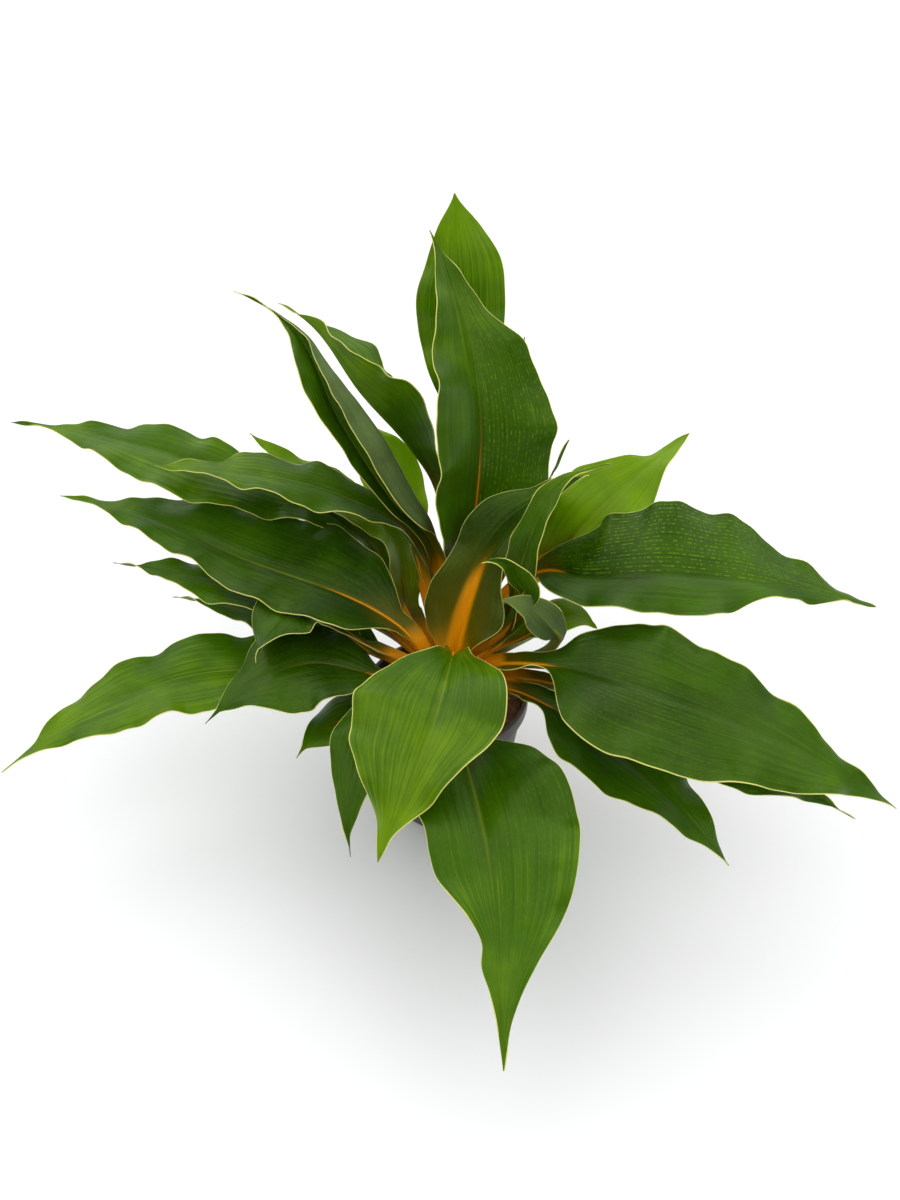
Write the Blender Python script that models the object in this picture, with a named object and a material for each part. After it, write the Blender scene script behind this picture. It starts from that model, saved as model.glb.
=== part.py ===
"""A potted chlorophytum: a rosette of broad, waved green leaves on orange stalks in a small nursery pot.

Run it with blender --background --python part.py or from Blender's text editor. The model is in metres
with +Z up, and its origin is the middle of the pot's flat foot. The front, where the heart-shaped leaf
hangs, is -Y. Sizes below are in millimetres and degrees.
"""

import math
from dataclasses import dataclass

import bmesh
import bpy
from mathutils import Matrix, Vector, geometry

MM = 0.001
CLEARANCE = 0.3  # left between pieces that rest on each other

# Pot
POT_HEIGHT = 90
RIM_RADIUS = 50
FOOT_RADIUS = 36
WALL = 1.4
RIM_BAND = 9  # height of the stiffer band below the rim
RIM_STEP = 1.4  # how far that band stands out from the wall
LIP_CHAMFER = 0.6
FOOT_CORNER = 2
DRAIN_HOLES = 6
DRAIN_RADIUS = 3
DRAIN_RING = 25
DRAIN_SIDES = 12
POT_SIDES = 48
POT_SHARP_ANGLE = 35

# Soil
SOIL_LEVEL = POT_HEIGHT - 8
SOIL_MOUND = 4  # how much higher the soil is at the plant than at the wall
SOIL_LUMP = 1.1
LUMP_WAVES = ((3, 0.4), (-5, 0.55), (8, 0))  # each crossing wave's turns around the pot, and radians per mm
SOIL_RINGS = 7
SOIL_SIDES = 40

# Crown, the short stem that all the stalks grow from
CROWN_RADIUS = 12
CROWN_DEPTH = 12  # how far it stands in the soil
CROWN_FOOT_CORNER = 3
CROWN_SHOULDER = 100
CROWN_SHOULDER_RADIUS = 9
CROWN_TOP = 106
CROWN_TOP_RADIUS = 3.5
CROWN_SIDES = 16

# Stalks
STALK_WIDTH = 8.5
STALK_FOOT_FLARE = 0.25  # how much wider a stalk is at its foot
STALK_THICKNESS = 3.0
STALK_SECTION = ((1, 0.5), (0.5, 0.1), (-0.5, 0.1), (-1, 0.5), (-0.9, 0), (-0.45, -0.5), (0.45, -0.5), (0.9, 0))
STALK_FOOT_RADIUS = 6
STALK_FOOT_HEIGHT = 94
STALK_UPTURN = 0.6  # how far a stalk starts out steeper than a straight line to its neck
STALK_STATIONS = 5
STALK_SHARP_ANGLE = 50
CURVE_STEPS = 24

# Blades
BLADE_THICKNESS = 0.8
NECK_WIDTH = 8
TIP_WIDTH = 1.6
NECK_FULLNESS = 0.75  # under 1 is rounded
NECK_FADE = 4  # how soon the stalk's width is lost in the blade
STATION_STEP = 12  # along the midrib
COLUMNS = (-1, -0.55, 0, 0.55, 1)  # across, as shares of half the width
EDGE_SAG = 0.12  # how far an edge curls down, as a share of half the width
WAVE_LENGTH = 42
WAVE_TURN = 80  # how far one edge's waves run ahead, and the other's behind

# sRGB colours of the sub-parts
COLOURS = {
    "deep_green": "#2F5A14",
    "mid_green": "#3F7019",
    "pale_green": "#6B9220",
    "orange_stalk": "#D2830F",
    "pot_plastic": "#3C3936",
    "potting_soil": "#3B2A20",
}
BLADE_ROUGHNESS = 0.38
ROUGHNESS = {"orange_stalk": 0.45, "pot_plastic": 0.55, "potting_soil": 0.95}


@dataclass(frozen=True)
class Leaf:
    """One leaf, whose midrib runs from the crown through neck, belly and tip."""

    name: str
    neck: tuple  # where the stalk becomes the blade
    belly: tuple  # about half-way along the blade
    tip: tuple
    width: float  # of the blade laid flat
    roll: tuple = (0, 0, 0)  # about the midrib, at neck, belly and tip
    fold: tuple = (30, 10)  # how far each half is raised, at the neck and from the belly on
    widest: float = 0.42  # as a share of the blade's length
    thread: float = 0.08  # the share of the blade that is only its drawn-out tip
    taper: float = 1.2  # 1 comes straight to the tip, more is hollow, less is rounded
    skew: float = 1.0  # the right half's width as a share of the left half's
    ripple: float = 3.0  # height of the waves in the edge
    colour: str = "mid_green"


LEAVES = (
    Leaf("leaf_back_pale", (8, 96, 205), (7, 124, 278), (5, 145, 338), 54, taper=0.75, thread=0.02,
         colour="pale_green"),
    Leaf("leaf_back_tall", (17, 55, 145), (19, 77, 245), (-9, 129, 322), 84, (20, 28, 10), (32, 26),
         widest=0.35),
    Leaf("leaf_back_tip", (26, 84, 138), (42, 118, 210), (48, 130, 260), 34),
    Leaf("leaf_back_right_thread", (36, 74, 126), (58, 94, 165), (78, 112, 200), 32, thread=0.25),
    Leaf("leaf_back_left_folded", (-6, 80, 160), (-38, 90, 224), (-103, 147, 275), 66, (40, 60, 70),
         (50, 52), widest=0.48, thread=0.12),
    Leaf("leaf_back_left_twisted", (-8, 58, 155), (-41, 80, 228), (-127, 138, 285), 64, (-50, -70, -80),
         (50, 55), widest=0.46, thread=0.2),
    Leaf("leaf_back_left_pale", (-16, 84, 134), (-26, 110, 173), (-60, 134, 212), 48, colour="pale_green"),
    Leaf("leaf_left_far", (-45, 70, 145), (-157, 86, 199), (-272, 112, 212), 57, (0, -15, -10),
         widest=0.48, thread=0.12),
    Leaf("leaf_left_curled", (-27, 56, 156), (-91, 53, 203), (-172, 66, 208), 48),
    Leaf("leaf_left_small_pale", (-34, 72, 154), (-80, 90, 190), (-121, 101, 212), 36, colour="pale_green"),
    Leaf("leaf_left_broad", (-30, 14, 128), (-123, 39, 160), (-247, 95, 165), 78, (0, -15, -10), (24, 8)),
    Leaf("leaf_left_low_back", (-38, 30, 112), (-135, 38, 139), (-210, 62, 140), 50),
    Leaf("leaf_left_low_front", (-39, 18, 101), (-110, 31, 125), (-171, 46, 125), 46),
    Leaf("leaf_left_hooked", (-42, 2, 119), (-84, 6, 145), (-105, -27, 134), 42, widest=0.65, taper=0.9),
    Leaf("leaf_front_left_long", (-42, 5, 94), (-153, -14, 112), (-241, -69, 92), 64, (0, -10, -5)),
    Leaf("leaf_front_left_dark", (-34, -10, 108), (-81, -17, 125), (-134, -44, 104), 62, (0, -15, -10),
         (18, 4), widest=0.48, colour="deep_green"),
    Leaf("leaf_front_left_short", (-23, -24, 92), (-61, -30, 93), (-84, -52, 85), 50, fold=(15, 0)),
    Leaf("leaf_front_narrow", (-14, -14, 104), (-44, -66, 108), (-50, -106, 68), 40),
    Leaf("leaf_front_heart", (1, -14, 130), (-12, -83, 136), (-33, -126, 92), 84, (0, 5, 25), widest=0.34),
    Leaf("leaf_front_long", (12, -50, 98), (28, -128, 96), (26, -209, 55), 78, taper=1.4),
    Leaf("leaf_right_low_broad", (35, -12, 120), (123, -68, 143), (236, -92, 90), 78, (0, 25, 15),
         (20, 8), widest=0.42, taper=1.45),
    Leaf("leaf_right_low_under", (56, -14, 108), (132, -68, 116), (219, -89, 78), 50, (0, 10, 10)),
    Leaf("leaf_front_right", (38, -20, 92), (94, -69, 95), (150, -107, 62), 62),
    Leaf("leaf_right_broad", (55, 37, 148), (133, -3, 182), (243, 4, 150), 72, (0, 20, 10), taper=1.4),
    Leaf("leaf_back_right_pale", (58, 54, 136), (96, 66, 180), (143, 96, 208), 66, (0, 20, 0),
         colour="pale_green"),
    Leaf("leaf_centre_folded", (5, 3, 112), (29, 26, 179), (82, 52, 208), 72, (20, 25, 10), (32, 28),
         widest=0.31, skew=0.72, colour="deep_green"),
    Leaf("leaf_centre_waved", (46, 0, 150), (50, 2, 187), (89, 25, 229), 30, (30, 42, 20), (22, 18),
         widest=0.5),
    Leaf("leaf_centre_young", (47, -10, 161), (38, -15, 191), (19, -15, 193), 27, (40, 100, 160), ripple=2),
    Leaf("leaf_centre_young_low", (57, 2, 138), (63, -17, 155), (31, -26, 169), 27, (0, 80, 170), ripple=2),
    Leaf("leaf_right_small", (51, 14, 123), (73, 15, 139), (97, 0, 130), 40, colour="pale_green"),
)


def linear_colour(hex_text):
    """The RGBA that a shader takes for an sRGB hex colour."""
    channels = [int(hex_text[i : i + 2], 16) / 255 for i in (1, 3, 5)]
    return [c / 12.92 if c <= 0.04045 else ((c + 0.055) / 1.055) ** 2.4 for c in channels] + [1]


def make_material(name):
    material = bpy.data.materials.new(name)
    material.use_nodes = True
    shader = material.node_tree.nodes["Principled BSDF"]
    shader.inputs["Base Color"].default_value = linear_colour(COLOURS[name])
    shader.inputs["Roughness"].default_value = ROUGHNESS.get(name, BLADE_ROUGHNESS)
    shader.inputs["Metallic"].default_value = 0
    return material


def add_object(name, mesh, material):
    mesh.materials.append(material)
    piece = bpy.data.objects.new(name, mesh)
    bpy.context.collection.objects.link(piece)
    return piece


def turned_mesh(name, profile, sides):
    """A closed (radius, height) profile in mm, turned about Z."""
    shape = bmesh.new()
    rings = []
    for radius, height in profile:
        if radius == 0:
            rings.append([shape.verts.new((0, 0, height * MM))] * sides)
            continue
        angles = [2 * math.pi * i / sides for i in range(sides)]
        rings.append([shape.verts.new((radius * MM * math.cos(a), radius * MM * math.sin(a), height * MM))
                      for a in angles])
    for lower, upper in zip(rings, rings[1:]):
        for i in range(sides):
            j = (i + 1) % sides
            corners = dict.fromkeys((lower[i], lower[j], upper[j], upper[i]))
            if len(corners) > 2:
                shape.faces.new(corners)
    mesh = bpy.data.meshes.new(name)
    shape.to_mesh(mesh)
    shape.free()
    return mesh


def inner_radius(height):
    """The pot's inner wall at a height above the floor of the pot."""
    rise = height / POT_HEIGHT
    return FOOT_RADIUS + (RIM_RADIUS - RIM_STEP - FOOT_RADIUS) * rise - WALL


def make_pot(material):
    shoulder = POT_HEIGHT - RIM_BAND
    profile = (
        (0, 0),
        (FOOT_RADIUS - FOOT_CORNER, 0),
        (FOOT_RADIUS, FOOT_CORNER),
        (RIM_RADIUS - LIP_CHAMFER, shoulder),
        (RIM_RADIUS, POT_HEIGHT - LIP_CHAMFER),
        (RIM_RADIUS - LIP_CHAMFER, POT_HEIGHT),
        (inner_radius(POT_HEIGHT), POT_HEIGHT),
        (inner_radius(WALL), WALL),
        (0, WALL),
    )
    pot = add_object("pot", turned_mesh("pot", profile, POT_SIDES), material)
    pot.data.shade_smooth()
    pot.data.set_sharp_from_angle(angle=math.radians(POT_SHARP_ANGLE))
    drill_drain_holes(pot)


def drill_drain_holes(pot):
    """A ring of round holes through the floor of the pot."""
    drills = bmesh.new()
    for i in range(DRAIN_HOLES):
        angle = 2 * math.pi * i / DRAIN_HOLES
        place = Matrix.Translation((DRAIN_RING * MM * math.cos(angle), DRAIN_RING * MM * math.sin(angle), 0))
        bmesh.ops.create_cone(drills, cap_ends=True, segments=DRAIN_SIDES, radius1=DRAIN_RADIUS * MM,
                              radius2=DRAIN_RADIUS * MM, depth=4 * WALL * MM, matrix=place)
    mesh = bpy.data.meshes.new("drain_drills")
    drills.to_mesh(mesh)
    drills.free()
    cutter = bpy.data.objects.new("drain_drills", mesh)
    bpy.context.collection.objects.link(cutter)
    cutter.hide_render = True
    cutter.display_type = "WIRE"
    cut = pot.modifiers.new("drain_holes", "BOOLEAN")
    cut.operation = "DIFFERENCE"
    cut.object = cutter


def soil_height(radius, angle):
    """A low mound towards the plant, with lumps from crossing waves."""
    reach = radius / inner_radius(SOIL_LEVEL)
    mound = SOIL_MOUND * (1 - reach**2)
    lumps = sum(math.sin(turns * angle + outward * radius) for turns, outward in LUMP_WAVES)
    return SOIL_LEVEL + mound + SOIL_LUMP * lumps / len(LUMP_WAVES)


def make_soil(material):
    """The potting soil, filling the pot, with the plain hole that the crown stands in."""
    hole = CROWN_RADIUS + CLEARANCE
    hole_floor = SOIL_LEVEL - CROWN_DEPTH - CLEARANCE
    edge = inner_radius(SOIL_LEVEL) - CLEARANCE
    floor = WALL + CLEARANCE
    profile = [(0, floor), (inner_radius(floor) - CLEARANCE, floor), (edge, SOIL_LEVEL)]
    for i in range(1, SOIL_RINGS + 1):
        profile.append((edge + (hole - edge) * i / SOIL_RINGS, SOIL_LEVEL))
    profile += [(hole, hole_floor), (0, hole_floor)]
    mesh = turned_mesh("potting_soil", profile, SOIL_SIDES)
    for vertex in mesh.vertices:
        radius = math.hypot(vertex.co.x, vertex.co.y) / MM
        if vertex.co.z / MM > SOIL_LEVEL - 1:
            vertex.co.z = soil_height(radius, math.atan2(vertex.co.y, vertex.co.x)) * MM
    add_object("potting_soil", mesh, material)


def smooth_curve(knots, first, steps):
    """Points along a curve through the knots, which leaves the first of them in a given direction."""
    directions = [first.normalized()]
    for before, here, after in zip(knots, knots[1:], knots[2:]):
        directions.append(((here - before).normalized() + (after - here).normalized()).normalized())
    last = (knots[-1] - knots[-2]).normalized()
    directions.append((2 * last - directions[-1]).normalized())
    points = [knots[0]]
    for i in range(len(knots) - 1):
        reach = (knots[i + 1] - knots[i]).length / 3
        handle_out = knots[i] + directions[i] * reach
        handle_in = knots[i + 1] - directions[i + 1] * reach
        points += geometry.interpolate_bezier(knots[i], handle_out, handle_in, knots[i + 1], steps)[1:]
    return points


def even_points(points, count):
    """The same curve as a given number of points, evenly spaced."""
    lengths = [(b - a).length for a, b in zip(points, points[1:])]
    step = sum(lengths) / (count - 1)
    evened = [points[0]]
    walked = 0
    for a, b, length in zip(points, points[1:], lengths):
        while len(evened) * step <= walked + length + 1e-9 and len(evened) < count:
            evened.append(a.lerp(b, (len(evened) * step - walked) / length))
        walked += length
    return evened


def leaf_foot(leaf):
    """Where the leaf's stalk leaves the crown."""
    outward = Vector((leaf.neck[0], leaf.neck[1], 0)).normalized()
    return outward * STALK_FOOT_RADIUS + Vector((0, 0, STALK_FOOT_HEIGHT))


def leaf_rib(leaf):
    """The midrib's points from the crown to the tip. The stalk takes the first STALK_STATIONS of them."""
    knots = [leaf_foot(leaf), Vector(leaf.neck), Vector(leaf.belly), Vector(leaf.tip)]
    rise = (knots[1] - knots[0]).normalized() + Vector((0, 0, STALK_UPTURN))
    curve = smooth_curve(knots, rise, CURVE_STEPS)
    stalk = even_points(curve[:CURVE_STEPS], STALK_STATIONS)
    blade = curve[CURVE_STEPS - 1 :]
    length = sum((b - a).length for a, b in zip(blade, blade[1:]))
    return stalk + even_points(blade, 2 + round(length / STATION_STEP))[1:]


def between(values, share):
    """A value that eases from the first through the middle to the last of three."""
    first, middle, last = values
    start, end = (first, middle) if share < 0.5 else (middle, last)
    ease = (share * 2) % 1 if share < 1 else 1
    return start + (end - start) * ease * ease * (3 - 2 * ease)


def leaf_frames(leaf, rib):
    """Each point of the midrib, with the ways that it runs, that is left of it and that the leaf faces."""
    foot = leaf_foot(leaf)
    heading = Vector((leaf.tip[0] - foot.x, leaf.tip[1] - foot.y, 0)).normalized()
    left = Vector((0, 0, 1)).cross(heading)
    neck = STALK_STATIONS - 1
    frames = []
    for i, point in enumerate(rib):
        if i < neck:
            roll = leaf.roll[0] * i / neck
        else:
            roll = between(leaf.roll, (i - neck) / (len(rib) - 1 - neck))
        along = (rib[min(i + 1, len(rib) - 1)] - rib[max(i - 1, 0)]).normalized()
        across = (left - along * left.dot(along)).normalized()
        across.rotate(Matrix.Rotation(math.radians(roll), 3, along))
        frames.append((point, along, across, along.cross(across)))
    return frames


def half_width(leaf, share):
    """Lance-shaped: rounded towards the neck, drawn out hollow towards the tip."""
    body = min(share / (1 - leaf.thread), 1)
    swell = math.sin(math.pi * body ** (math.log(0.5) / math.log(leaf.widest)))
    fullness = NECK_FULLNESS + (leaf.taper - NECK_FULLNESS) * body
    blade = leaf.width / 2 * max(swell, 0) ** fullness
    neck = NECK_WIDTH / 2 * (1 - share) ** NECK_FADE
    return max(blade, neck, TIP_WIDTH / 2)


def blade_points(leaf, frames, columns):
    """The blade's middle surface, row by row."""
    length = sum((b[0] - a[0]).length for a, b in zip(frames, frames[1:]))
    rows = []
    for i, (point, along, left, up) in enumerate(frames):
        share = i / (len(frames) - 1)
        half = half_width(leaf, share)
        raised = math.radians(between((leaf.fold[0], leaf.fold[1], leaf.fold[1]), share))
        start = point + along * CLEARANCE if i == 0 else point
        row = []
        for column in columns:
            side = math.copysign(1, column)
            out = abs(column) * half * (leaf.skew if column < 0 else 1)
            turn = 2 * math.pi * share * length / WAVE_LENGTH + math.radians(WAVE_TURN * side)
            wave = leaf.ripple * column**2 * math.sin(turn) * math.sqrt(math.sin(math.pi * share))
            lift = out * math.sin(raised) + wave - EDGE_SAG * half * column**2
            row.append(start + left * side * out * math.cos(raised) + up * lift)
        rows.append(row)
    return rows


def make_blade(leaf, frames, material):
    """A thin sheet, split into the same triangles on both faces."""
    rows = blade_points(leaf, frames, COLUMNS)
    points = [point * MM for row in rows for point in row]
    across = len(COLUMNS)
    triangles = []
    for i in range(len(rows) - 1):
        for j in range(across - 1):
            a, b = i * across + j, i * across + j + 1
            c, d = b + across, a + across
            triangles += [(a, b, c), (a, c, d)]
    mesh = bpy.data.meshes.new(leaf.name)
    mesh.from_pydata(points, [], triangles)
    mesh.shade_smooth()
    blade = add_object(leaf.name, mesh, material)
    sheet = blade.modifiers.new("blade_thickness", "SOLIDIFY")
    sheet.thickness = BLADE_THICKNESS * MM
    sheet.offset = 0


def stalk_mesh(frames):
    """A flat stalk with a shallow channel along its upper face."""
    shape = bmesh.new()
    rings = []
    for i, (point, _, left, up) in enumerate(frames):
        half = STALK_WIDTH / 2 * (1 + STALK_FOOT_FLARE * (1 - i / (len(frames) - 1)))
        ring = [point + left * half * x + up * STALK_THICKNESS * y for x, y in STALK_SECTION]
        rings.append([shape.verts.new(corner * MM) for corner in ring])
    for lower, upper in zip(rings, rings[1:]):
        for i in range(len(lower)):
            j = (i + 1) % len(lower)
            shape.faces.new((lower[j], lower[i], upper[i], upper[j]))
    shape.faces.new(rings[0])
    shape.faces.new(reversed(rings[-1]))
    bmesh.ops.recalc_face_normals(shape, faces=shape.faces)
    mesh = bpy.data.meshes.new("stalk")
    shape.to_mesh(mesh)
    shape.free()
    return mesh


def crown_mesh():
    foot = SOIL_LEVEL - CROWN_DEPTH
    profile = (
        (0, foot),
        (CROWN_RADIUS - CROWN_FOOT_CORNER, foot),
        (CROWN_RADIUS, foot + CROWN_FOOT_CORNER),
        (CROWN_RADIUS, SOIL_LEVEL + SOIL_MOUND + SOIL_LUMP),
        (CROWN_SHOULDER_RADIUS, CROWN_SHOULDER),
        (CROWN_TOP_RADIUS, CROWN_TOP),
        (0, CROWN_TOP),
    )
    return turned_mesh("crown_and_stalks", profile, CROWN_SIDES)


def make_crown_and_stalks(stalks, material):
    """The crown with all its stalks, grown together in one body."""
    crown = add_object("crown_and_stalks", crown_mesh(), material)
    grown = bpy.data.collections.new("stalks")
    bpy.context.scene.collection.children.link(grown)
    for mesh in stalks:
        grown.objects.link(bpy.data.objects.new("stalk", mesh))
    join = crown.modifiers.new("grow_together", "BOOLEAN")
    join.operation = "UNION"
    join.operand_type = "COLLECTION"
    join.collection = grown
    bpy.context.view_layer.objects.active = crown
    bpy.ops.object.modifier_apply(modifier=join.name)
    for stalk in list(grown.objects):
        bpy.data.objects.remove(stalk)
    bpy.data.collections.remove(grown)
    crown.data.shade_smooth()
    crown.data.set_sharp_from_angle(angle=math.radians(STALK_SHARP_ANGLE))


def make_plant(materials):
    stalks = []
    for leaf in LEAVES:
        frames = leaf_frames(leaf, leaf_rib(leaf))
        stalks.append(stalk_mesh(frames[:STALK_STATIONS]))
        make_blade(leaf, frames[STALK_STATIONS - 1 :], materials[leaf.colour])
    make_crown_and_stalks(stalks, materials["orange_stalk"])


def main():
    for old in list(bpy.data.objects):
        bpy.data.objects.remove(old)
    materials = {name: make_material(name) for name in COLOURS}
    make_pot(materials["pot_plastic"])
    make_soil(materials["potting_soil"])
    make_plant(materials)


main()
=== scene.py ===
"""A potted chlorophytum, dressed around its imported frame: waved blades on orange stalks, a nursery pot and soil.

It is laid out as an add-on. Run as a script, it calls its operators in order. The leaves' numbers are in
millimetres and degrees, and the origin is the middle of the pot's flat foot, with -Y the front.
"""

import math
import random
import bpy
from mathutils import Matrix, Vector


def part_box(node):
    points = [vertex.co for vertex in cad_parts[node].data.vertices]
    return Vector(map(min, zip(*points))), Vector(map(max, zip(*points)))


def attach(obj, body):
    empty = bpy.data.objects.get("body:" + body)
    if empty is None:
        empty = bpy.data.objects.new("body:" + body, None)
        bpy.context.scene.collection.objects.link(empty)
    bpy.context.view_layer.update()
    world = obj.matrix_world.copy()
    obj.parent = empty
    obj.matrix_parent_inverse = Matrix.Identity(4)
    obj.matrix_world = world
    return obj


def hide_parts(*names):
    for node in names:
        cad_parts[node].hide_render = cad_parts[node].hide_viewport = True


bl_info = {
    "name": "Potted Chlorophytum",
    "version": (1, 0, 0),
    "blender": (4, 5, 0),
    "location": "3D View > Sidebar > Plant",
    "description": "Grows a chlorophytum with broad, waved leaves on orange stalks in a nursery pot",
    "category": "Add Mesh",
}

from dataclasses import dataclass

import bpy
from bpy.props import EnumProperty, FloatProperty, FloatVectorProperty, IntProperty, PointerProperty
from mathutils import Euler, Matrix, Vector, geometry, noise

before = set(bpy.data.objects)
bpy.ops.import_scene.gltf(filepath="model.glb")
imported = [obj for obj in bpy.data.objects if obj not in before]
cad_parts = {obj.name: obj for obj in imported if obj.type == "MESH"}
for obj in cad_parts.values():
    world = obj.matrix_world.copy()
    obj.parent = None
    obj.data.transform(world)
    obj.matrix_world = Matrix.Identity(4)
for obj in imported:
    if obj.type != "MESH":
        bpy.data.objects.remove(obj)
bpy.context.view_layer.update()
POT_LOW, POT_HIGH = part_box("pot")
SOIL_LOW, SOIL_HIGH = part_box("potting_soil")

MM = 0.001
BODY = "root"

# Rows and columns of a leaf's grid
BLADE_STEP = 2.5
STALK_STEP = 5
COLUMNS = 28
CURVE_STEPS = 60

# A leaf's form, the same as its solid's
STALK_FOOT_RADIUS = 6
STALK_FOOT_HEIGHT = 94
STALK_HALF_WIDTH = 4.6
STALK_FOOT_FLARE = 0.3
STALK_FOLD = 44
STALK_THICKNESS = 3.0
NECK_FULLNESS = 0.75
NECK_FADE = 4
THREAD_HALF_WIDTH = 0.8
TIP_HALF_WIDTH = 0.2
EDGE_SAG = 0.12
WAVE_LENGTH = 42
WAVE_TURN = 80
CREASE_DEPTH = 1.1
CREASE_HALF_WIDTH = 2.4
MIDRIB_HALF_WIDTH = 1.8
RUFFLES = ((24, 1.0), (15, 0.55))  # lengths of the small waves in an edge, and their shares
COCKLE = 2.2
COCKLE_LENGTH = 26
COLUMN_CROWDING = 1.3  # more than 1 crowds the columns to the midrib
CURL_STEPS = 12
TIP_MARGIN = 4

# What a leaf's mesh says to its material: -1 to 1 across it, millimetres from its edge and past its neck,
# how orange it is, its midrib's pale line, its veins' dashes, and its tone, which also holds painted light and
# shade
MARKS = ("across", "edge_mm", "along_mm", "orange", "rib_line", "dashes", "tone")

# Colour along a leaf
PAINTED_SHEEN_MIDDLE = 0.45  # the share of a blade's length where the painted light changes sides: nearer the neck it is painted darker, towards the tip paler
UNRIPE = 0.65
OLIVE = 0.45
ORANGE_REACH = 10

# Crown
CROWN_PROFILE = ((9, 70), (12, 73), (12, 88), (11, 94), (9, 100), (6, 104), (3, 106))

# Camera, fitted to the photograph
CAMERA_PLACE = (0.00245, -0.3911, 0.4519)
CAMERA_PITCH = 37
CAMERA_LENS = 26.19
CAMERA_SENSOR = 36


@dataclass(frozen=True)
class Leaf:
    """One leaf, whose midrib runs from the crown through neck, belly and tip."""

    name: str
    neck: tuple  # where the stalk becomes the blade
    belly: tuple  # about half-way along the blade
    tip: tuple
    width: float = 0  # of the blade laid flat, where it is lance-shaped
    roll: tuple = (0, 0, 0)  # about the midrib, at neck, belly and tip
    fold: tuple = (30, 10)  # how far each half is raised, at the neck and from the belly on
    curl: tuple = (0, 0)  # how far the left and right edges turn over towards the upper face
    widest: float = 0.42  # as a share of the blade's length
    thread: float = 0.08  # the share of the blade that is only its drawn-out tip
    taper: float = 1.2  # 1 comes straight to the tip, more is hollow, less is rounded
    skew: float = 1.0  # the right half's width as a share of the left half's
    ripple: float = 3.0  # height of the waves in the edge
    slot: str = "mid_green"
    tone: float = 0.35  # 0 is the deepest green, 1 the palest: its own green, with painted light and shade set leaf by leaf
    fade: float = 0.3  # how much paler its tip is than its neck: painted sheen, and painted light where the outer part is less shaded
    ripe: float = 0.7  # the share of its stalk, from the foot, that is wholly orange
    rib: float = 60  # how far along the blade its midrib is orange
    band: float = 1.2  # half of the orange midrib's width at the neck
    halo: float = 16  # how far the olive of the stalk's end spreads into the blade's base
    edge: float = 1  # the pale margin's width, as a share of the usual one
    wing: float = 6.5  # half of the stalk's width where it joins the blade
    line: float = 0.6  # how pale the midrib is past its orange
    dashes: tuple = (0.15, 0.15)  # how plain the pale dashes in the left and right halves' veins are
    left: tuple = ()  # widths from the midrib to the left edge, evenly spaced, where it isn't lance-shaped
    right: tuple = ()
    knee: tuple = ()  # a point that the midrib also runs through, before the belly
    wrist: tuple = ()  # and one after it
    upturn: float = 0.6  # how much steeper than straight to its neck the stalk leaves the crown
    green_back: bool = False  # whether its underside is as green as its upper face


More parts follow.
